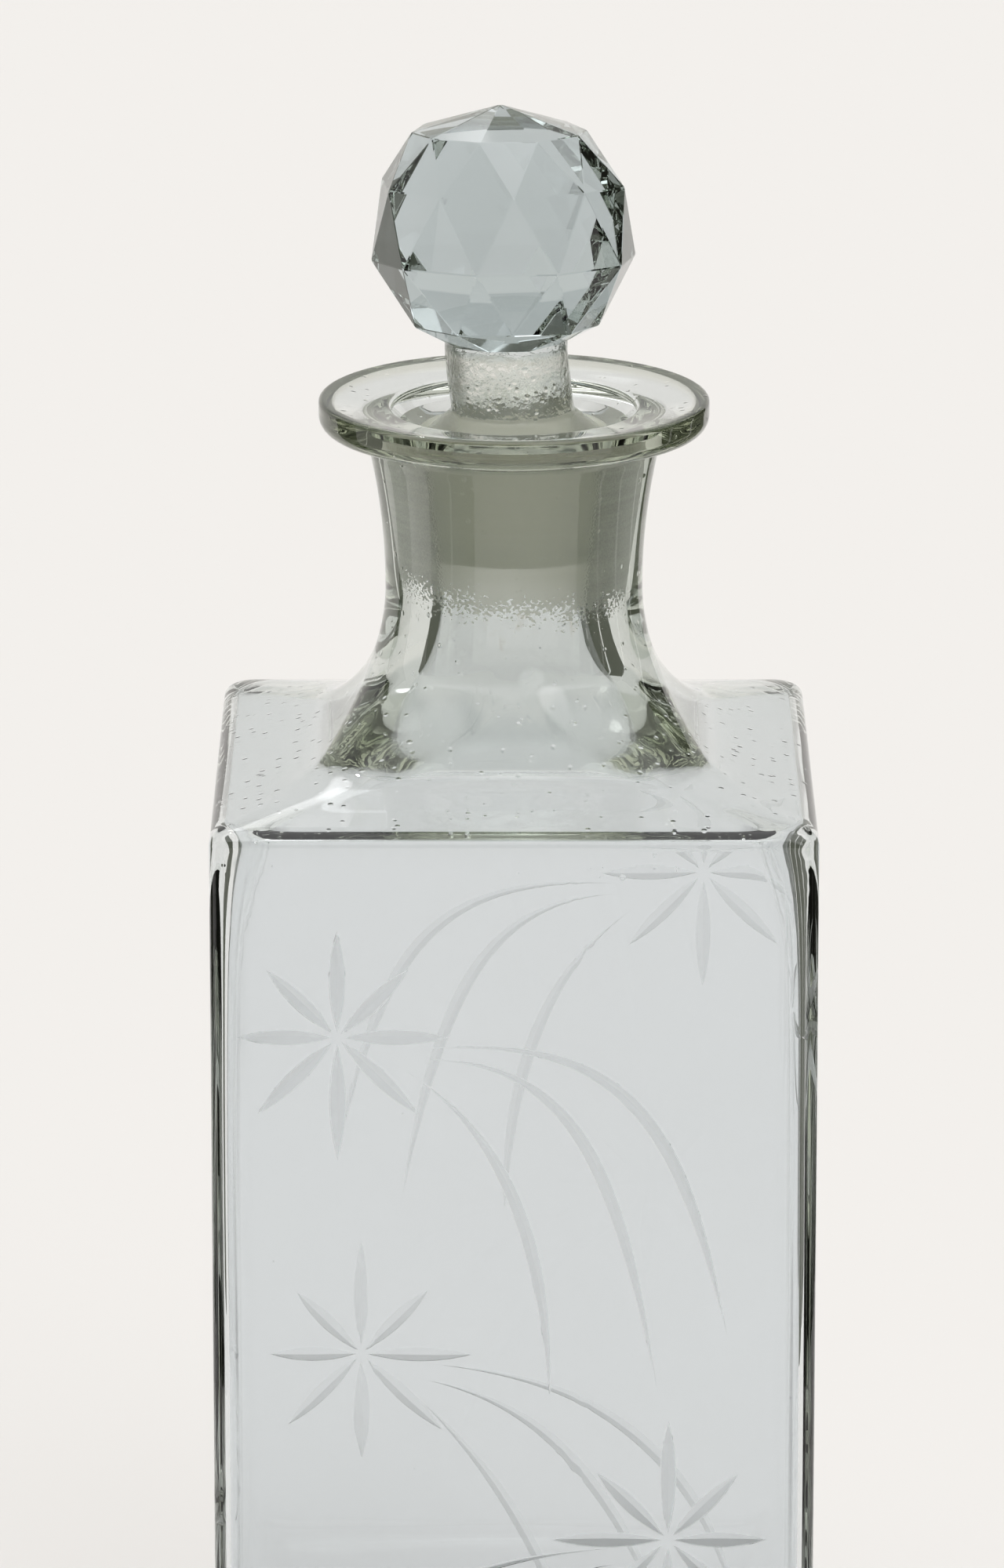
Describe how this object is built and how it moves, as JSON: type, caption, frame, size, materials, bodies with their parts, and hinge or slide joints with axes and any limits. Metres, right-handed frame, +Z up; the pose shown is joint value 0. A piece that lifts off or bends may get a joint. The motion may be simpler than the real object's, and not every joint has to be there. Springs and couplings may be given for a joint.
{
  "type": "square decanter with ball stopper",
  "caption": "Square-sided clear glass decanter with wheel-cut star and spray decoration, flared lip, ground neck and a lift-out faceted ball stopper.",
  "frame": {"origin": "centre of the underside, on the surface the decanter stands on", "axes": "+Z up along the neck and stopper, -Y out of the front face, +X to the right of the front face"},
  "size_m": [0.085, 0.085, 0.2625],
  "materials": {
    "body_glass": "clear old glass with a faint grey-green tint, polished, with matte wheel cuts and a ground neck bore",
    "stopper_glass": "clear old glass with polished facets, a rippled stem and a frosted ground plug"
  },
  "bodies": {
    "bottle": {"decanter_body": "body_glass"},
    "closure": {"stopper": "stopper_glass"}
  },
  "joints": [
    {"name": "stopper_lift", "type": "slide", "parent": "bottle", "child": "closure", "axis": [0, 0, 1], "range_m": [0, 0.06]}
  ]
}
